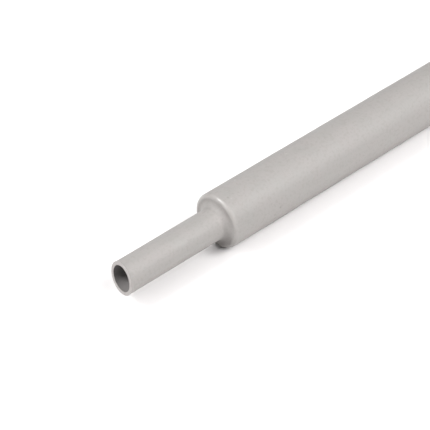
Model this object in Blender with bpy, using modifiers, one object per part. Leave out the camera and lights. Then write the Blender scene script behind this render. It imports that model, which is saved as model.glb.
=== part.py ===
"""A cut length of heat shrink tube, lying on its side, with one end already shrunk.

Metres, +Z up. The tube runs along X: the shrunk end is at -X and the expanded end at +X.
The origin is on the surface that the tube lies on, under the middle of its length.
"""

import math

import bmesh
import bpy
from mathutils import Vector

MM = 0.001

# Driving dimensions of the tube
OVERALL_LENGTH = 150.0 * MM
EXPANDED_BORE = 12.7 * MM
EXPANDED_WALL = 0.37 * MM
SHRUNK_BORE = 6.1 * MM
SHRUNK_WALL = 0.79 * MM
# From the middle of the cut end to where the shoulder starts to rise
SHRUNK_LENGTH = 26.7 * MM

# The shoulder, where the tube steps down from its expanded size to its shrunk size
SHOULDER_FILLET = 1.5 * MM
SHOULDER_CORNER = 0.95 * MM
# Negative, because the face leans back a little under its rounded corner
SHOULDER_LEAN = math.radians(-4.0)

# The shrunk end was cut by hand, a little off square: towards +Y and towards the top
CUT_LEAN_SIDE = math.radians(8.4)
CUT_LEAN_TOP = math.radians(4.1)

# How finely the round shapes are divided
SIDES = 48
ARC_STEPS = 6

# Spare stock at the shrunk end, which the slanted cut takes off
CUT_SPARE = 1.0 * MM
# The side of the block that makes the cut, in expanded radii
CUTTER_SIZE_RATIO = 4.0
# The turned section is closed by merging its first and last points within this distance
MERGE_DISTANCE = 0.01 * MM

EXPANDED_RADIUS = EXPANDED_BORE / 2 + EXPANDED_WALL
SHRUNK_RADIUS = SHRUNK_BORE / 2 + SHRUNK_WALL
# The tube lies on one flat of its many-sided section
AXIS_HEIGHT = EXPANDED_RADIUS * math.cos(math.pi / SIDES)

TUBE_NAME = "heat_shrink_tube"
TUBE_GREY = (0.527, 0.509, 0.491, 1.0)
TUBE_ROUGHNESS = 0.62


def clear_scene():
    """Remove everything that the file opened with."""
    for obj in list(bpy.data.objects):
        bpy.data.objects.remove(obj, do_unlink=True)


def new_collection(name):
    """Make a collection in the scene."""
    made = bpy.data.collections.new(name)
    bpy.context.scene.collection.children.link(made)
    return made


def tube_material():
    """Matt grey cross-linked polyolefin."""
    material = bpy.data.materials.new("grey_polyolefin")
    material.use_nodes = True
    shader = material.node_tree.nodes["Principled BSDF"]
    shader.inputs["Base Color"].default_value = TUBE_GREY
    shader.inputs["Roughness"].default_value = TUBE_ROUGHNESS
    shader.inputs["Metallic"].default_value = 0.0
    return material


def cut_slope():
    """The slant of the cut end: how far it runs back along X for each metre of Y and of Z."""
    return math.tan(CUT_LEAN_SIDE), math.tan(CUT_LEAN_TOP)


def cut_reach():
    """How far the slanted end stands out, at its tip, past the middle of its face."""
    return SHRUNK_RADIUS * math.hypot(*cut_slope())


def cut_centre_x():
    """X of the middle of the cut face, so that the tip is at half the overall length."""
    return -OVERALL_LENGTH / 2 + cut_reach()


def shoulder_outline(start_x):
    """The outer line of the shoulder, from the shrunk tube to the expanded tube.

    It is a hollow fillet, a nearly flat face that leans a little, and a rounded corner.
    Each point is (x, radius, normal x, normal radius), with the normal pointing outwards.
    The fillet and the corner get smaller together if the step has no room for them.
    """
    step = EXPANDED_RADIUS - SHRUNK_RADIUS
    arcs_rise = (SHOULDER_FILLET + SHOULDER_CORNER) * (1 - math.sin(SHOULDER_LEAN))
    fitting = min(1.0, step / arcs_rise)
    fillet = SHOULDER_FILLET * fitting
    corner = SHOULDER_CORNER * fitting
    face_length = (step - arcs_rise * fitting) / math.cos(SHOULDER_LEAN)
    turn = math.pi / 2 - SHOULDER_LEAN

    points = []
    for i in range(ARC_STEPS + 1):
        angle = turn * i / ARC_STEPS
        points.append(
            (
                start_x + fillet * math.sin(angle),
                SHRUNK_RADIUS + fillet * (1 - math.cos(angle)),
                -math.sin(angle),
                math.cos(angle),
            )
        )
    corner_x = points[-1][0] + face_length * math.sin(SHOULDER_LEAN) + corner * math.sin(turn)
    for i in range(ARC_STEPS + 1):
        angle = turn * (1 - i / ARC_STEPS)
        points.append(
            (
                corner_x - corner * math.sin(angle),
                EXPANDED_RADIUS - corner * (1 - math.cos(angle)),
                -math.sin(angle),
                math.cos(angle),
            )
        )
    return points


def inner_line(outline):
    """The bore's line behind the shoulder: the outer line, moved in by the wall.

    The wall thins evenly, with the distance along the outline, from shrunk to expanded.
    """
    travelled = [0.0]
    for a, b in zip(outline, outline[1:]):
        travelled.append(travelled[-1] + math.hypot(b[0] - a[0], b[1] - a[1]))
    points = []
    for (x, radius, normal_x, normal_r), distance in zip(outline, travelled):
        share = distance / travelled[-1]
        wall = SHRUNK_WALL + (EXPANDED_WALL - SHRUNK_WALL) * share
        points.append((x - wall * normal_x, radius - wall * normal_r))
    return points


def tube_profile():
    """The closed section of the wall as (radius, x), down the outside and back up the bore."""
    far_x = OVERALL_LENGTH / 2
    stock_x = cut_centre_x() - cut_reach() - CUT_SPARE
    outline = shoulder_outline(cut_centre_x() + SHRUNK_LENGTH)
    outside = [(EXPANDED_RADIUS, far_x)]
    outside += [(radius, x) for x, radius, _, _ in reversed(outline)]
    outside.append((SHRUNK_RADIUS, stock_x))
    inside = [(SHRUNK_BORE / 2, stock_x)]
    inside += [(radius, x) for x, radius in inner_line(outline)]
    inside.append((EXPANDED_BORE / 2, far_x))
    return outside + inside


def make_cutter(collection):
    """A block whose +X side is the plane of the hand-made cut."""
    side_slope, top_slope = cut_slope()
    inwards = Vector((1.0, -side_slope, -top_slope)).normalized()
    size = CUTTER_SIZE_RATIO * EXPANDED_RADIUS
    mesh = bpy.data.meshes.new("end_cutter")
    block = bmesh.new()
    bmesh.ops.create_cube(block, size=size)
    block.to_mesh(mesh)
    block.free()
    cutter = bpy.data.objects.new("end_cutter", mesh)
    collection.objects.link(cutter)
    cutter.rotation_mode = "QUATERNION"
    cutter.rotation_quaternion = inwards.to_track_quat("X", "Z")
    cutter.location = Vector((cut_centre_x(), 0.0, AXIS_HEIGHT)) - inwards * size / 2
    cutter.hide_render = True
    cutter.display_type = "WIRE"
    return cutter


def make_tube(collection, cutter):
    """The tube: its wall's section turned about its axis, with the end cut on a slant."""
    profile = tube_profile()
    mesh = bpy.data.meshes.new(TUBE_NAME)
    points = [(radius, 0.0, x) for radius, x in profile]
    edges = [(i, (i + 1) % len(points)) for i in range(len(points))]
    mesh.from_pydata(points, edges, [])
    mesh.materials.append(tube_material())
    tube = bpy.data.objects.new(TUBE_NAME, mesh)
    collection.objects.link(tube)

    turned = tube.modifiers.new("turned", "SCREW")
    turned.axis = "Z"
    turned.angle = 2 * math.pi
    turned.steps = SIDES
    turned.render_steps = SIDES
    turned.use_merge_vertices = True
    turned.merge_threshold = MERGE_DISTANCE
    turned.use_smooth_shade = True

    cut = tube.modifiers.new("hand_cut_end", "BOOLEAN")
    cut.operation = "DIFFERENCE"
    cut.solver = "EXACT"
    cut.object = cutter

    # The section is turned about local Z, which then lies along X, with a flat underneath
    tube.rotation_mode = "ZYX"
    tube.rotation_euler = (0.0, math.pi / 2, math.pi / SIDES)
    tube.location = (0.0, 0.0, AXIS_HEIGHT)
    return tube


def main():
    """Build the tube and its cutter."""
    clear_scene()
    tube_collection = new_collection("heat_shrink_tube")
    cutters = new_collection("cutters")
    cutter = make_cutter(cutters)
    make_tube(tube_collection, cutter)


main()
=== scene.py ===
"""Looks of a grey heat shrink tube: its fine surface, its finish, and the studio around it.

Metres and +Z up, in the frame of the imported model. The tube runs along X, with its shrunk end at
-X and its expanded end at +X, and it lies on the floor at Z = 0. Angles around the tube start at
its top and grow towards -Y, the side that faces the camera.
"""

import logging
import math
from dataclasses import dataclass, field
from enum import Enum

import bpy
import numpy as np
from mathutils import Matrix, Vector


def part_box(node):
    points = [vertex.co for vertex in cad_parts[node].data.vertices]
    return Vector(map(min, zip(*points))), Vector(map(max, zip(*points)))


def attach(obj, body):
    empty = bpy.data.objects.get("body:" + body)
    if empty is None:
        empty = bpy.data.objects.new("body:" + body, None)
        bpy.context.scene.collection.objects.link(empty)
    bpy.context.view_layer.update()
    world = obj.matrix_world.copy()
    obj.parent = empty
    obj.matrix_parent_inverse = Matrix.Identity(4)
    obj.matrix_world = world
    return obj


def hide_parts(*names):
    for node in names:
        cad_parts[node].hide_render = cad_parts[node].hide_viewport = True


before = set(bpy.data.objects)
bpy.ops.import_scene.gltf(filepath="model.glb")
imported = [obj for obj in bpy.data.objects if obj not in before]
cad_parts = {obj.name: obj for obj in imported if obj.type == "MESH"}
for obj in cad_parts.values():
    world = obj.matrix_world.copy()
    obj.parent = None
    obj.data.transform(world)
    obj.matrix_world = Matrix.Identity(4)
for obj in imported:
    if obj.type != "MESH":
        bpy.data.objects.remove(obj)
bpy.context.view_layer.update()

MM = 0.001
NODE = "heat_shrink_tube"
BODY = "root"

log = logging.getLogger("heat_shrink_tube")


class Stretch(Enum):
    """The stretches that the closed section of the wall is made of, in the order it is drawn."""

    EXPANDED_SKIN = "expanded skin"
    SHOULDER = "shoulder"
    SHRUNK_SKIN = "shrunk skin"
    CUT_LIP = "cut lip"
    SHRUNK_BORE = "shrunk bore"
    INNER_SHOULDER = "inner shoulder"
    EXPANDED_BORE = "expanded bore"
    FAR_LIP = "far lip"


class Mask(Enum):
    """The attributes that tell the material how far each place has a finish or painted light, from
    0 to 1.
    """

    CUT_FACE = "cut_face"
    # Where the bore's darker colour goes, which is painted shade
    BORE = "bore"
    # Where the corner is smoother and carries a painted highlight
    GLOSS_AND_HIGHLIGHT = "gloss_and_highlight"


class Grade(Enum):
    """How the rows of a stretch are spaced: evenly, or closer together at both of its ends."""

    EVEN = "even"
    FINE_AT_BOTH_ENDS = "fine at both ends"


def linear(hex_colour: str) -> tuple[float, float, float, float]:
    """Turn an sRGB colour into the linear one that a shader takes.

    Args:
        hex_colour: The colour as six hex digits after a hash sign.

    Returns:
        Linear red, green and blue, and an alpha of 1.
    """
    channels = [int(hex_colour[i : i + 2], 16) / 255.0 for i in (1, 3, 5)]
    red, green, blue = (
        c / 12.92 if c <= 0.04045 else ((c + 0.055) / 1.055) ** 2.4 for c in channels
    )
    return red, green, blue, 1.0


def add_node(
    tree: bpy.types.NodeTree,
    kind: str,
    links: dict[str | int, object] | None = None,
    **settings: object,
) -> bpy.types.Node:
    """Add a shader node, set it up and link its inputs.

    Args:
        tree: The node tree that the node goes in.
        kind: Blender's name for the kind of node.
        links: Input name or number to the output socket that feeds it, or to a plain value.
        **settings: Properties of the node itself.

    Returns:
        The new node.
    """
    node = tree.nodes.new(kind)
    for name, value in settings.items():
        setattr(node, name, value)
    for name, source in (links or {}).items():
        if isinstance(source, bpy.types.NodeSocket):
            tree.links.new(source, node.inputs[name])
        else:
            node.inputs[name].default_value = source
    return node


def spaced(start: float, end: float, count: int, grade: Grade = Grade.EVEN) -> np.ndarray:
    """Work out numbers from start up to, and without, end.

    An even row is start plus equal steps. A graded one takes half of 1 minus the cosine of half
    a turn times the share of the way, so that shading stays crisp at the ends of the stretch.

    Args:
        start: The first number.
        end: The number that the next stretch starts with.
        count: How many numbers there are.
        grade: How they are spaced.

    Returns:
        The numbers, as an array.
    """
    share = np.arange(count) / count
    if grade is Grade.FINE_AT_BOTH_ENDS:
        share = (1.0 - np.cos(math.pi * share)) / 2.0
    return start + (end - start) * share


def straight_run(radius: float, start: float, end: float, count: int) -> np.ndarray:
    """Draw a straight line along the tube, at one radius and without its last point.

    Args:
        radius: Its radius.
        start: X of its first point.
        end: X of the point that the next stretch starts with.
        count: How many points it has, closer together near both ends.

    Returns:
        Points as rows of x and radius.
    """
    x = spaced(start, end, count, Grade.FINE_AT_BOTH_ENDS)
    return np.stack([x, np.full(count, radius)], axis=-1)


def bent_run(x: float, radius: float, bend_radius: float, bend: np.ndarray) -> np.ndarray:
    """Draw an arc that runs along the tube where its angle is 0 and turns away from it.

    Each point stands at x plus the arc's radius times the sine of its angle, and at the tube's
    radius plus the arc's radius times 1 minus the cosine of its angle.

    Args:
        x: X of the point at the angle of 0.
        radius: The tube's radius there.
        bend_radius: The arc's own radius, negative for one that turns towards -X and inwards.
        bend: The angle of each point.

    Returns:
        Points as rows of x and radius.
    """
    return np.stack(
        [x + bend_radius * np.sin(bend), radius + bend_radius * (1.0 - np.cos(bend))], axis=-1
    )


def closed_grid_mesh(name: str, points: np.ndarray) -> bpy.types.Mesh:
    """Make a smooth mesh from a grid of points that closes on itself both ways.

    Face (i, j) joins points (i, j), (i, j + 1), (i + 1, j + 1) and (i + 1, j), and the last row
    and column are followed by the first ones.

    Args:
        name: The mesh's name.
        points: Rows by columns by 3 coordinates.

    Returns:
        The mesh.
    """
    rows, columns = points.shape[:2]
    numbers = np.arange(rows * columns).reshape(rows, columns)
    next_row = np.roll(numbers, -1, axis=0)
    next_column = np.roll(numbers, -1, axis=1)
    across = np.roll(next_row, -1, axis=1)
    faces = np.stack([numbers, next_column, across, next_row], axis=-1).reshape(-1, 4)

    mesh = bpy.data.meshes.new(name)
    mesh.vertices.add(rows * columns)
    mesh.vertices.foreach_set("co", points.reshape(-1).astype(np.float32))
    mesh.loops.add(faces.size)
    mesh.loops.foreach_set("vertex_index", faces.reshape(-1).astype(np.int32))
    mesh.polygons.add(len(faces))
    mesh.polygons.foreach_set("loop_start", np.arange(0, faces.size, 4, dtype=np.int32))
    mesh.update(calc_edges=True)
    mesh.validate()
    mesh.shade_smooth()
    return mesh


@dataclass(frozen=True)
class Ripple:
    """A gentle unevenness: a sum of waves that run around and along the tube.

    Each wave is the cosine of a whole number of turns around the tube, plus a number of turns
    for each metre along it, plus a phase. Whole turns make it close on itself.
    """

    seed: int
    depth: float
    waves: int
    most_turns: int
    shortest_along: float

    def inward(self, along: np.ndarray, around: np.ndarray) -> np.ndarray:
        """Work out how far each place lies inside the true surface.

        Args:
            along: Places along X, in metres.
            around: Angles around the tube, in radians.

        Returns:
            Depths from 0 to the ripple's own depth, in metres.
        """
        draw = np.random.default_rng(self.seed)
        turns = draw.integers(1, self.most_turns + 1, self.waves)
        per_metre = draw.uniform(-1.0, 1.0, self.waves) / self.shortest_along
        phases = draw.uniform(0.0, 2.0 * math.pi, self.waves)
        total = np.zeros(np.broadcast_shapes(along.shape, around.shape))
        for turn, rate, phase in zip(turns, per_metre, phases):
            total += np.cos(turn * around + 2.0 * math.pi * rate * along + phase) / turn
        return self.depth * (total.max() - total) / (total.max() - total.min())


@dataclass(frozen=True)
class Speck:
    """A small mark in the skin: a grain of pigment, a dent, a blister, a painted highlight or
    painted shade.

    It is placed by its middle: X, and the angle around the tube. Darkness is the share of the
    dark colour of marks in it, and the painted glint the share of the painted highlight. Height is
    how far it stands out, or in where negative.
    """

    along: float
    turned_deg: float
    radius: float
    darkness: float = 0.0
    painted_glint: float = 0.0
    height: float = 0.0

    def centre_mm(self, tube_radius: float, axis_height: float) -> tuple[float, float, float]:
        """Work out where its middle is.

        Args:
            tube_radius: Radius of the skin that it is in.
            axis_height: Height of the tube's axis.

        Returns:
            X, Y and Z in millimetres.
        """
        angle = math.radians(self.turned_deg)
        return (
            self.along / MM,
            -tube_radius * math.sin(angle) / MM,
            (axis_height + tube_radius * math.cos(angle)) / MM,
        )


@dataclass(frozen=True)
class Pattern:
    """A faint pattern of one colour in the skin: noise of one width, drawn out along the tube.

    The colour starts to show where the noise, from 0 to 1, passes the first value of its band,
    and reaches its full share at the second.
    """

    colour: str
    wide_mm: float
    long_mm: float
    detail: float
    share: float
    band: tuple[float, float] = (0.45, 0.75)

    def build(self, tree: bpy.types.NodeTree, in_mm: bpy.types.NodeSocket) -> bpy.types.NodeSocket:
        """Add the pattern to a material.

        Args:
            tree: The material's node tree.
            in_mm: The place on the tube, in millimetres.

        Returns:
            The share of the pattern's colour there.
        """
        drawn_out = add_node(
            tree,
            "ShaderNodeMapping",
            {"Vector": in_mm, "Scale": (self.wide_mm / self.long_mm, 1.0, 1.0)},
        )
        noise = add_node(
            tree,
            "ShaderNodeTexNoise",
            {
                "Vector": drawn_out.outputs["Vector"],
                "Scale": 1.0 / self.wide_mm,
                "Detail": self.detail,
            },
        )
        shown = add_node(
            tree,
            "ShaderNodeMapRange",
            {
                "Value": noise.outputs["Fac"],
                "From Min": self.band[0],
                "From Max": self.band[1],
                "To Max": self.share,
            },
            interpolation_type="SMOOTHSTEP",
        )
        return shown.outputs["Result"]


@dataclass(frozen=True)
class TubeFinish:
    """Cross-linked polyolefin, extruded, then expanded: a matt, slightly waxy grey skin.

    The pigment is mixed in, so the colour is even. On it are faint clouds some millimetres wide,
    a fine mottle, faint streaks along the draw, tiny pits that show darker, and a few specks.
    Where the wall is drawn tight around a corner it is smoother, and a pale colour there is a
    painted highlight. A fresh cut through it is a little lighter than the skin. The bore's darker
    colour is painted shade.
    """

    grey: str = "#878683"
    cloud: str = "#8E8987"
    fresh_cut: str = "#908C8A"
    # Painted shade: the whole bore is coloured darker
    bore: str = "#73706F"
    # A painted highlight on the shoulder's corner, the cut's outer edge and some specks
    painted_highlight: str = "#A19E9B"
    speck: str = "#3A3836"
    ior: float = 1.51
    metallic: float = 0.0
    roughness: float = 0.61
    roughness_spread: float = 0.10
    roughness_band: tuple[float, float] = (0.3, 0.7)
    corner_roughness: float = 0.34
    # Share of the painted highlight on the shoulder's corner and the cut's outer edge
    corner_painted_highlight: float = 0.22
    mottle: Pattern = Pattern("#7C7976", wide_mm=0.65, long_mm=0.65, detail=2.0, share=0.4)
    streaks: Pattern = Pattern("#858381", wide_mm=0.9, long_mm=45.0, detail=3.0, share=0.3)
    cloud_mm: float = 4.5
    # The real matt grain is about 0.03 mm, too fine for the picture, so it is drawn coarser
    grain_mm: float = 0.16
    grain_depth_mm: float = 0.004
    noise_detail: float = 2.0
    pit_spacing_mm: float = 1.6
    pit_radius_mm: float = 0.14
    pit_darkness: float = 0.08
    specks: tuple[Speck, ...] = (
        Speck(-43.93 * MM, 13.1, 0.36 * MM, darkness=0.24),
        # Painted highlight on a shallow dent
        Speck(-43.43 * MM, 18.2, 0.42 * MM, painted_glint=0.30, height=-0.03 * MM),
        Speck(-32.46 * MM, 85.8, 0.50 * MM, darkness=0.34),
        Speck(-34.19 * MM, 96.3, 0.46 * MM, darkness=0.24),
        Speck(-33.84 * MM, 106.9, 0.40 * MM, darkness=0.16),
        # Painted highlight on the lit side of a blister
        Speck(-38.20 * MM, -18.8, 0.42 * MM, painted_glint=0.60, height=0.05 * MM),
        # Painted shade on the far side of the blister above
        Speck(-37.90 * MM, -13.8, 0.34 * MM, darkness=0.10),
        # Painted highlight on a shallow dent
        Speck(-23.10 * MM, -8.0, 0.55 * MM, painted_glint=0.30, height=-0.03 * MM),
    )

    def marks(
        self,
        tree: bpy.types.NodeTree,
        in_mm: bpy.types.NodeSocket,
        grain: bpy.types.NodeSocket,
        tube_radius: float,
        axis_height: float,
    ) -> tuple[dict[str, bpy.types.NodeSocket | float], bpy.types.NodeSocket]:
        """Add the pits, the specks and the grain.

        A mark fades out smoothly from its middle to its radius. Where marks of one colour meet,
        the stronger one shows. Some specks are a painted highlight or painted shade.

        Args:
            tree: The material's node tree.
            in_mm: The place on the tube, in millimetres.
            grain: The grain's noise, from 0 to 1.
            tube_radius: Radius of the skin that the specks are in.
            axis_height: Height of the tube's axis.

        Returns:
            The share of each colour of marks, and how far the skin stands out in millimetres.
        """
        pits = add_node(
            tree,
            "ShaderNodeTexVoronoi",
            {"Vector": in_mm, "Scale": 1.0 / self.pit_spacing_mm},
        )
        in_pit = add_node(
            tree,
            "ShaderNodeMapRange",
            {
                "Value": pits.outputs["Distance"],
                "From Max": self.pit_radius_mm / self.pit_spacing_mm,
                "To Min": self.pit_darkness,
                "To Max": 0.0,
            },
            interpolation_type="SMOOTHSTEP",
        )
        # Shares of the dark marks and of the painted highlight colour
        shares: dict[str, bpy.types.NodeSocket | float] = {
            self.speck: in_pit.outputs["Result"],
            self.painted_highlight: 0.0,
        }
        relief = add_node(
            tree, "ShaderNodeMath", {0: grain, 1: self.grain_depth_mm}, operation="MULTIPLY"
        )
        for speck in self.specks:
            away = add_node(
                tree,
                "ShaderNodeVectorMath",
                {0: in_mm, 1: speck.centre_mm(tube_radius, axis_height)},
                operation="DISTANCE",
            )
            near = add_node(
                tree,
                "ShaderNodeMapRange",
                {
                    "Value": away.outputs["Value"],
                    "From Max": speck.radius / MM,
                    "To Min": 1.0,
                    "To Max": 0.0,
                },
                interpolation_type="SMOOTHSTEP",
            ).outputs["Result"]
            # A speck's darkness, in one speck painted shade, and its painted highlight
            strengths = {self.speck: speck.darkness, self.painted_highlight: speck.painted_glint}
            for colour, strength in strengths.items():
                mark = add_node(
                    tree, "ShaderNodeMath", {0: near, 1: strength}, operation="MULTIPLY"
                )
                stronger = add_node(
                    tree,
                    "ShaderNodeMath",
                    {0: shares[colour], 1: mark.outputs["Value"]},
                    operation="MAXIMUM",
                )
                shares[colour] = stronger.outputs["Value"]
            relief = add_node(
                tree,
                "ShaderNodeMath",
                {0: near, 1: speck.height / MM, 2: relief.outputs["Value"]},
                operation="MULTIPLY_ADD",
            )
        return shares, relief.outputs["Value"]

    def material(self, tube_radius: float, axis_height: float) -> bpy.types.Material:
        """Build the material, with its colours laid over one another from the plain grey up.

        Args:
            tube_radius: Radius of the skin that the specks are in.
            axis_height: Height of the tube's axis.

        Returns:
            The finished material.
        """
        made = bpy.data.materials.new("grey_polyolefin")
        made.use_nodes = True
        tree = made.node_tree
        place = add_node(tree, "ShaderNodeTexCoord").outputs["Object"]
        in_mm = add_node(
            tree, "ShaderNodeMapping", {"Vector": place, "Scale": (1.0 / MM, 1.0 / MM, 1.0 / MM)}
        ).outputs["Vector"]
        clouds, grain = (
            add_node(
                tree,
                "ShaderNodeTexNoise",
                {"Vector": in_mm, "Scale": 1.0 / size_mm, "Detail": self.noise_detail},
            ).outputs["Fac"]
            for size_mm in (self.cloud_mm, self.grain_mm)
        )
        cut_face, bore, gloss_and_highlight = (
            add_node(tree, "ShaderNodeAttribute", attribute_name=mask.value).outputs["Fac"]
            for mask in (Mask.CUT_FACE, Mask.BORE, Mask.GLOSS_AND_HIGHLIGHT)
        )
        # Painted highlight along the shoulder's corner and the cut's outer edge
        corner_highlight = add_node(
            tree, "ShaderNodeMath", {0: gloss_and_highlight, 1: self.corner_painted_highlight}, operation="MULTIPLY"
        )
        marks, relief = self.marks(tree, in_mm, grain, tube_radius, axis_height)
        layers = (
            (self.cloud, clouds),
            (self.mottle.colour, self.mottle.build(tree, in_mm)),
            (self.streaks.colour, self.streaks.build(tree, in_mm)),
            *marks.items(),
            (self.painted_highlight, corner_highlight.outputs["Value"]),
            (self.fresh_cut, cut_face),
            # Painted shade over the whole bore
            (self.bore, bore),
        )
        colour = linear(self.grey)
        for over, share in layers:
            colour = add_node(
                tree,
                "ShaderNodeMix",
                {"Factor": share, "A": colour, "B": linear(over)},
                data_type="RGBA",
            ).outputs["Result"]

        half_spread = self.roughness_spread / 2.0
        matt = add_node(
            tree,
            "ShaderNodeMapRange",
            {
                "Value": clouds,
                "From Min": self.roughness_band[0],
                "From Max": self.roughness_band[1],
                "To Min": self.roughness - half_spread,
                "To Max": self.roughness + half_spread,
            },
            interpolation_type="SMOOTHSTEP",
        )
        smoother = self.corner_roughness - self.roughness
        roughness = add_node(
            tree,
            "ShaderNodeMath",
            {0: gloss_and_highlight, 1: smoother, 2: matt.outputs["Result"]},
            operation="MULTIPLY_ADD",
        )
        bump = add_node(tree, "ShaderNodeBump", {"Height": relief, "Distance": MM})
        shader = tree.nodes["Principled BSDF"]
        shader.inputs["IOR"].default_value = self.ior
        shader.inputs["Metallic"].default_value = self.metallic
        tree.links.new(colour, shader.inputs["Base Color"])
        tree.links.new(roughness.outputs["Value"], shader.inputs["Roughness"])
        tree.links.new(bump.outputs["Normal"], shader.inputs["Normal"])
        return made


@dataclass
class HeatShrinkTube:
    """A length of heat shrink tube with its -X end shrunk, as one closed wall.

    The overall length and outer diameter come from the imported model. The other sizes are the
    same driving dimensions as the model's own.
    """

    lowest: Vector
    highest: Vector
    expanded_wall: float = 0.37 * MM
    shrunk_bore: float = 6.1 * MM
    shrunk_wall: float = 0.79 * MM
    shrunk_length: float = 26.7 * MM
    shoulder_fillet: float = 1.5 * MM
    shoulder_corner: float = 0.95 * MM
    shoulder_lean: float = math.radians(-4.0)
    cut_lean_side: float = math.radians(8.4)
    cut_lean_top: float = math.radians(4.1)
    lip_round: float = 0.09 * MM
    burr: float = 0.09 * MM
    burr_length: float = 0.3 * MM
    columns: int = 192
    expanded_rows: int = 150
    shrunk_rows: int = 56
    expanded_bore_rows: int = 90
    shrunk_bore_rows: int = 36
    arc_rows: int = 14
    face_rows: int = 5
    lip_arc_rows: int = 5
    lip_flat_rows: int = 8
    skin_ripple: Ripple = Ripple(
        seed=11, depth=0.05 * MM, waves=14, most_turns=5, shortest_along=16.0 * MM
    )
    cut_ripple: Ripple = Ripple(
        seed=23, depth=0.06 * MM, waves=9, most_turns=9, shortest_along=40.0 * MM
    )
    finish: TubeFinish = field(default_factory=TubeFinish)

    @property
    def axis_height(self) -> float:
        """Height of the tube's axis over the floor."""
        return (self.lowest.z + self.highest.z) / 2.0

    @property
    def expanded_radius(self) -> float:
        """Outer radius of the expanded stretch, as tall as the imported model."""
        return (self.highest.z - self.lowest.z) / 2.0

    @property
    def shrunk_radius(self) -> float:
        """Outer radius of the shrunk stretch."""
        return self.shrunk_bore / 2.0 + self.shrunk_wall

    @property
    def cut_slope(self) -> tuple[float, float]:
        """How far the cut runs back along X for each metre of Y and of Z."""
        return math.tan(self.cut_lean_side), math.tan(self.cut_lean_top)

    @property
    def cut_centre_x(self) -> float:
        """X of the middle of the cut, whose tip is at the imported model's end."""
        return self.lowest.x + self.shrunk_radius * math.hypot(*self.cut_slope)

    def shoulder_line(self, offset_start: float, offset_end: float) -> np.ndarray:
        """Draw the line of the shoulder from the expanded tube to the shrunk one.

        It is a rounded corner, a nearly flat face that leans a little and a hollow fillet, each
        an arc or a straight run in closed form. The whole is then moved inwards, along its own
        normal, by an offset that grows evenly with the distance travelled.

        Args:
            offset_start: How far it is moved inwards at the expanded end.
            offset_end: How far it is moved inwards at the shrunk end.

        Returns:
            Points as rows of x and radius.
        """
        turn = math.pi / 2.0 - self.shoulder_lean
        start_x = self.cut_centre_x + self.shrunk_length
        fillet, corner = self.shoulder_fillet, self.shoulder_corner
        step = self.expanded_radius - self.shrunk_radius
        face = (step - (fillet + corner) * (1.0 - math.cos(turn))) / math.sin(turn)

        bend_back = np.append(spaced(turn, 0.0, self.arc_rows), 0.0)
        fillet_line = bent_run(start_x, self.shrunk_radius, fillet, bend_back)
        face_start = fillet_line[0] + face * np.array([math.cos(turn), math.sin(turn)])
        bend = spaced(0.0, turn, self.arc_rows)
        corner_x = face_start[0] + corner * math.sin(turn)
        corner_line = bent_run(corner_x, self.expanded_radius, -corner, bend)
        share = spaced(0.0, 1.0, self.face_rows)[:, None]
        face_line = face_start + (fillet_line[0] - face_start) * share
        line = np.concatenate([corner_line, face_line, fillet_line])

        bearing = np.concatenate([bend, np.full(self.face_rows, turn), bend_back])
        normal = np.stack([-np.sin(bearing), np.cos(bearing)], axis=-1)
        travelled = np.append(0.0, np.cumsum(np.hypot(*np.diff(line, axis=0).T)))
        offset = offset_start + (offset_end - offset_start) * travelled / travelled[-1]
        return line - normal * offset[:, None]

    def lip_line(self, outer: float, inner: float) -> np.ndarray:
        """Draw the line over an end of the wall, from its outside to its bore.

        It is a quarter circle, the flat of the end, and a second quarter circle.

        Args:
            outer: Outer radius of the tube there.
            inner: Radius of the bore there.

        Returns:
            Points as rows of depth behind the end's face and radius.
        """
        edge = self.lip_round
        bend = spaced(0.0, math.pi / 2.0, self.lip_arc_rows)
        first = bent_run(edge, outer, -edge, bend)
        flat_radius = spaced(
            outer - edge, inner + edge, self.lip_flat_rows, Grade.FINE_AT_BOTH_ENDS
        )
        flat = np.stack([np.zeros(self.lip_flat_rows), flat_radius], axis=-1)
        bend_back = spaced(math.pi / 2.0, 0.0, self.lip_arc_rows)
        last = bent_run(-edge, inner, edge, bend_back) * (-1.0, 1.0)
        return np.concatenate([first, flat, last])

    def section(self) -> tuple[np.ndarray, list[Stretch]]:
        """Draw the closed section of the wall.

        It runs down the outside from the expanded end, over the cut lip, back up the bore and
        over the far lip. By the cut the skin flares evenly into a slight burr.

        Returns:
            Points as rows of x and radius, and the stretch that each one belongs to.
        """
        edge = self.lip_round
        far_x, cut_x = self.highest.x, self.cut_centre_x
        outer, shrunk_outer = self.expanded_radius, self.shrunk_radius
        inner, shrunk_inner = outer - self.expanded_wall, self.shrunk_bore / 2.0
        shoulder = self.shoulder_line(0.0, 0.0)
        inner_shoulder = self.shoulder_line(self.expanded_wall, self.shrunk_wall)[::-1]
        shrunk_skin = straight_run(shrunk_outer, shoulder[-1, 0], cut_x + edge, self.shrunk_rows)
        nearness = 1.0 - (shrunk_skin[:, 0] - cut_x - edge) / self.burr_length
        shrunk_skin[:, 1] += self.burr * np.clip(nearness, 0.0, 1.0)
        cut_lip = self.lip_line(shrunk_outer + self.burr, shrunk_inner) + (cut_x, 0.0)
        far_lip = self.lip_line(outer, inner)[::-1] * (-1.0, 1.0) + (far_x, 0.0)
        parts = {
            Stretch.EXPANDED_SKIN: straight_run(
                outer, far_x - edge, shoulder[0, 0], self.expanded_rows
            ),
            Stretch.SHOULDER: shoulder[:-1],
            Stretch.SHRUNK_SKIN: shrunk_skin,
            Stretch.CUT_LIP: cut_lip,
            Stretch.SHRUNK_BORE: straight_run(
                shrunk_inner, cut_x + edge, inner_shoulder[0, 0], self.shrunk_bore_rows
            ),
            Stretch.INNER_SHOULDER: inner_shoulder[:-1],
            Stretch.EXPANDED_BORE: straight_run(
                inner, inner_shoulder[-1, 0], far_x - edge, self.expanded_bore_rows
            ),
            Stretch.FAR_LIP: far_lip,
        }
        line = np.concatenate(list(parts.values()))
        stretches = [stretch for stretch, points in parts.items() for _ in range(len(points))]
        return line, stretches

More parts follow.
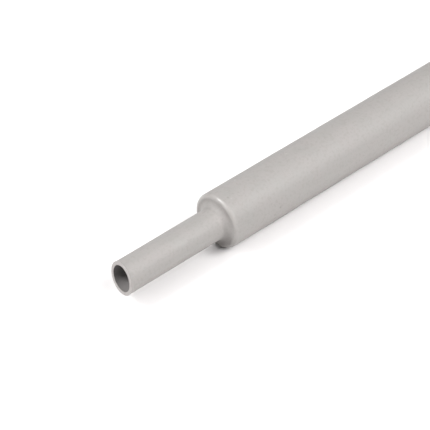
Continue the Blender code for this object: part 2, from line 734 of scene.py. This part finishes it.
    def surface(self) -> tuple[np.ndarray, list[Stretch]]:
        """Carry the section around the axis.

        A point at radius r and angle a stands at y = -r sin a and z = axis height + r cos a,
        where r is first made smaller by the skin's ripple. Near the shrunk end its x is moved by
        the cut's two slopes times y and the height over the axis, plus the cut's own ripple, and
        this shift fades out evenly towards the shoulder.

        Returns:
            The points, section by angle by 3, and the stretch of each row.
        """
        line, stretches = self.section()
        angle = 2.0 * math.pi * np.arange(self.columns) / self.columns
        along, around = np.meshgrid(line[:, 0], angle, indexing="ij")
        inward = self.skin_ripple.inward(along, around)
        radius = line[:, 1:2] * (1.0 - inward / self.expanded_radius)
        y = -radius * np.sin(around)
        rise = radius * np.cos(around)
        side_slope, top_slope = self.cut_slope
        shoulder_x = self.cut_centre_x + self.shrunk_length
        fade = np.clip((shoulder_x - along) / self.shrunk_length, 0.0, 1.0)
        uneven = self.cut_ripple.inward(np.zeros_like(along), around)
        x = along + fade * (side_slope * y + top_slope * rise + uneven)
        return np.stack([x, y, rise + self.axis_height], axis=-1), stretches

    def masks(self, stretches: list[Stretch]) -> dict[Mask, np.ndarray]:
        """Work out how far each row of the section has each finish.

        The cut face and the bore, whose darker colour is painted shade, are whole stretches. The
        smoother gloss with its painted highlight lies around the shoulder's corner and the cut's
        outer edge, as the sine of half a turn times the share of the way around each.

        Args:
            stretches: The stretch that each row belongs to.

        Returns:
            The share of each mask, from 0 to 1, for each row.
        """
        members = {
            Mask.CUT_FACE: (Stretch.CUT_LIP, Stretch.FAR_LIP),
            # The bore carries painted shade
            Mask.BORE: (Stretch.SHRUNK_BORE, Stretch.INNER_SHOULDER, Stretch.EXPANDED_BORE),
        }
        shares = {
            mask: np.array([float(stretch in inside) for stretch in stretches])
            for mask, inside in members.items()
        }
        gloss_and_highlight = np.zeros(len(stretches))
        # Rows that are smoother and carry a painted highlight
        glossy_and_highlighted = {Stretch.SHOULDER: self.arc_rows, Stretch.CUT_LIP: self.lip_arc_rows}
        for stretch, count in glossy_and_highlighted.items():
            step = np.arange(count)
            gloss_and_highlight[stretches.index(stretch) + step] = np.sin(math.pi * step / count)
        shares[Mask.GLOSS_AND_HIGHLIGHT] = gloss_and_highlight
        return shares

    def build(self) -> bpy.types.Object:
        """Make the tube, dress it and seat it in the frame.

        Returns:
            The tube's object.
        """
        points, stretches = self.surface()
        mesh = closed_grid_mesh("tube_wall", points)
        for mask, share in self.masks(stretches).items():
            attribute = mesh.attributes.new(mask.value, "FLOAT", "POINT")
            attribute.data.foreach_set("value", np.repeat(share, self.columns).astype(np.float32))
        tube = bpy.data.objects.new("tube_wall", mesh)
        bpy.context.scene.collection.objects.link(tube)
        mesh.materials.append(self.finish.material(self.expanded_radius, self.axis_height))
        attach(tube, BODY)
        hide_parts(NODE)
        return tube


@dataclass(frozen=True)
class CardFinish:
    """Plain white matt card, which gives soft shadows and no reflection.

    Glow is light that the card gives off by itself, for a backdrop that is lit from behind.
    """

    name: str
    white: str
    glow: float = 0.0
    roughness: float = 0.9

    def material(self) -> bpy.types.Material:
        """Build the material.

        Returns:
            The finished material.
        """
        made = bpy.data.materials.new(self.name)
        made.use_nodes = True
        shader = made.node_tree.nodes["Principled BSDF"]
        shader.inputs["Base Color"].default_value = linear(self.white)
        shader.inputs["Roughness"].default_value = self.roughness
        shader.inputs["Specular IOR Level"].default_value = 0.0
        shader.inputs["Emission Color"].default_value = linear(self.white)
        shader.inputs["Emission Strength"].default_value = self.glow
        return made


@dataclass(frozen=True)
class SoftLight:
    """A soft box that points at the tube.

    Its bearing is in degrees from +X towards +Y and its height in degrees over the floor.
    """

    name: str
    bearing_deg: float
    height_deg: float
    wide: float
    tall: float
    watts: float
    distance: float = 1.0

    def build(self, target: Vector) -> bpy.types.Object:
        """Make the light.

        Args:
            target: The point that it faces.

        Returns:
            The light's object.
        """
        bearing, height = math.radians(self.bearing_deg), math.radians(self.height_deg)
        away = Vector(
            (
                math.cos(height) * math.cos(bearing),
                math.cos(height) * math.sin(bearing),
                math.sin(height),
            )
        )
        data = bpy.data.lights.new(self.name, "AREA")
        data.shape = "RECTANGLE"
        data.size = self.wide
        data.size_y = self.tall
        data.energy = self.watts
        lamp = bpy.data.objects.new(self.name, data)
        lamp.location = target + away * self.distance
        lamp.rotation_mode = "QUATERNION"
        lamp.rotation_quaternion = away.to_track_quat("Z", "Y")
        lamp.visible_camera = False
        bpy.context.scene.collection.objects.link(lamp)
        return lamp


@dataclass(frozen=True)
class PhotoCamera:
    """The photograph's viewpoint, found from the tube's edges, shoulder and cut end in it.

    Pixels are those of the photograph's 430 by 430 frame, with Y down. The camera faces turned
    degrees from +Y towards +X and looks down by raised degrees, without roll.
    """

    frame_px: float = 430.0
    focal_px: float = 1994.0
    turned_deg: float = 44.07
    raised_deg: float = 38.06
    aim_depth: float = 442.7 * MM
    aim_x: float = -45.93 * MM
    aim_px: tuple[float, float] = (216.56, 221.65)
    sensor: float = 36.0
    clip_start: float = 10.0 * MM

    def build(self, axis_height: float) -> bpy.types.Object:
        """Make the camera and make it the scene's own.

        The camera stands back from the aimed point by the depth, and to the side and up by the
        pixels that this point lies from the middle of the frame.

        Args:
            axis_height: Height of the tube's axis, on which the aimed point lies.

        Returns:
            The camera's object.
        """
        turned, raised = math.radians(self.turned_deg), math.radians(self.raised_deg)
        ahead = Vector((math.sin(turned), math.cos(turned), 0.0))
        right = Vector((math.cos(turned), -math.sin(turned), 0.0))
        forward = ahead * math.cos(raised) - Vector((0.0, 0.0, math.sin(raised)))
        up = right.cross(forward)
        half = self.frame_px / 2.0
        off_right = (self.aim_px[0] - half) / self.focal_px
        off_down = (self.aim_px[1] - half) / self.focal_px
        ray = forward + right * off_right - up * off_down
        data = bpy.data.cameras.new("photo_camera")
        data.sensor_width = self.sensor
        data.lens = self.focal_px / self.frame_px * self.sensor
        data.clip_start = self.clip_start
        camera = bpy.data.objects.new("photo_camera", data)
        camera.location = Vector((self.aim_x, 0.0, axis_height)) - ray * self.aim_depth
        axes = Matrix((right, up, -forward)).transposed()
        camera.rotation_mode = "QUATERNION"
        camera.rotation_quaternion = axes.to_quaternion()
        bpy.context.scene.collection.objects.link(camera)
        bpy.context.scene.camera = camera
        return camera


@dataclass
class Studio:
    """A white floor with soft boxes around it and a low lit wall behind them, for a catalogue."""

    floor_side: float = 12.0
    wall_radius: float = 2.5
    wall_height: float = 0.28
    wall_columns: int = 96
    floor_finish: CardFinish = CardFinish("white_card", "#E5E3E3")
    wall_finish: CardFinish = CardFinish("lit_card", "#FFFFFF", glow=0.5)
    lights: tuple[SoftLight, ...] = (
        SoftLight("back_left", 150.0, 47.0, wide=0.35, tall=0.40, watts=11.5),
        SoftLight("left", 180.0, 30.0, wide=0.35, tall=0.35, watts=2.5),
        SoftLight("top", 195.0, 66.0, wide=0.45, tall=0.35, watts=1.1),
        SoftLight("front", 270.0, 38.0, wide=0.35, tall=0.65, watts=6.2),
        SoftLight("front_right", 300.0, 44.0, wide=0.35, tall=0.55, watts=8.4),
        SoftLight("back_low", 60.0, 12.0, wide=0.35, tall=0.35, watts=1.2),
        SoftLight("far_end", 5.0, 22.0, wide=0.35, tall=0.35, watts=0.5),
    )

    def build_floor(self) -> bpy.types.Object:
        """Make the floor, a square at the height of 0.

        Returns:
            The floor's object.
        """
        half = self.floor_side / 2.0
        corners = [(-half, -half, 0.0), (half, -half, 0.0), (half, half, 0.0), (-half, half, 0.0)]
        mesh = bpy.data.meshes.new("floor")
        mesh.from_pydata(corners, [], [(0, 1, 2, 3)])
        mesh.materials.append(self.floor_finish.material())
        floor = bpy.data.objects.new("floor", mesh)
        bpy.context.scene.collection.objects.link(floor)
        return floor

    def build_wall(self) -> bpy.types.Object:
        """Make the wall, a ring of upright faces on the floor.

        Column j stands at the angle of j shares of a turn, at x = radius times its cosine and
        y = radius times its sine, from the floor up to the wall's height.

        Returns:
            The wall's object.
        """
        angle = 2.0 * math.pi * np.arange(self.wall_columns) / self.wall_columns
        foot = np.stack(
            [
                self.wall_radius * np.cos(angle),
                self.wall_radius * np.sin(angle),
                np.zeros(self.wall_columns),
            ],
            axis=-1,
        )
        points = np.concatenate([foot, foot + (0.0, 0.0, self.wall_height)])
        column = np.arange(self.wall_columns)
        following = np.roll(column, -1)
        above = self.wall_columns
        faces = np.stack([following, column, column + above, following + above], axis=-1)
        mesh = bpy.data.meshes.new("wall")
        mesh.from_pydata(points.tolist(), [], faces.tolist())
        mesh.materials.append(self.wall_finish.material())
        wall = bpy.data.objects.new("wall", mesh)
        bpy.context.scene.collection.objects.link(wall)
        # A backdrop for low views only: it neither lights the tube nor shows in its skin
        wall.visible_diffuse = False
        wall.visible_glossy = False
        return wall

    def build(self, target: Vector) -> None:
        """Make the floor, the wall and the lights.

        Args:
            target: The point that the lights face.
        """
        self.build_floor()
        self.build_wall()
        for light in self.lights:
            light.build(target)
        bpy.context.scene.view_settings.view_transform = "Standard"


def main() -> None:
    """Build the tube, then the studio and the camera around it."""
    logging.basicConfig(level=logging.INFO, format="%(name)s: %(message)s")
    lowest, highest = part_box(NODE)
    tube = HeatShrinkTube(lowest, highest)
    piece = tube.build()
    log.info("%s has %d faces and stands for %s", piece.name, len(piece.data.polygons), NODE)
    studio = Studio()
    studio.build(Vector((0.0, 0.0, tube.axis_height)))
    log.info("the studio has %d lights", len(studio.lights))
    camera = PhotoCamera().build(tube.axis_height)
    log.info("%s has a %.1f mm lens", camera.name, camera.data.lens)


if __name__ == "__main__":
    main()
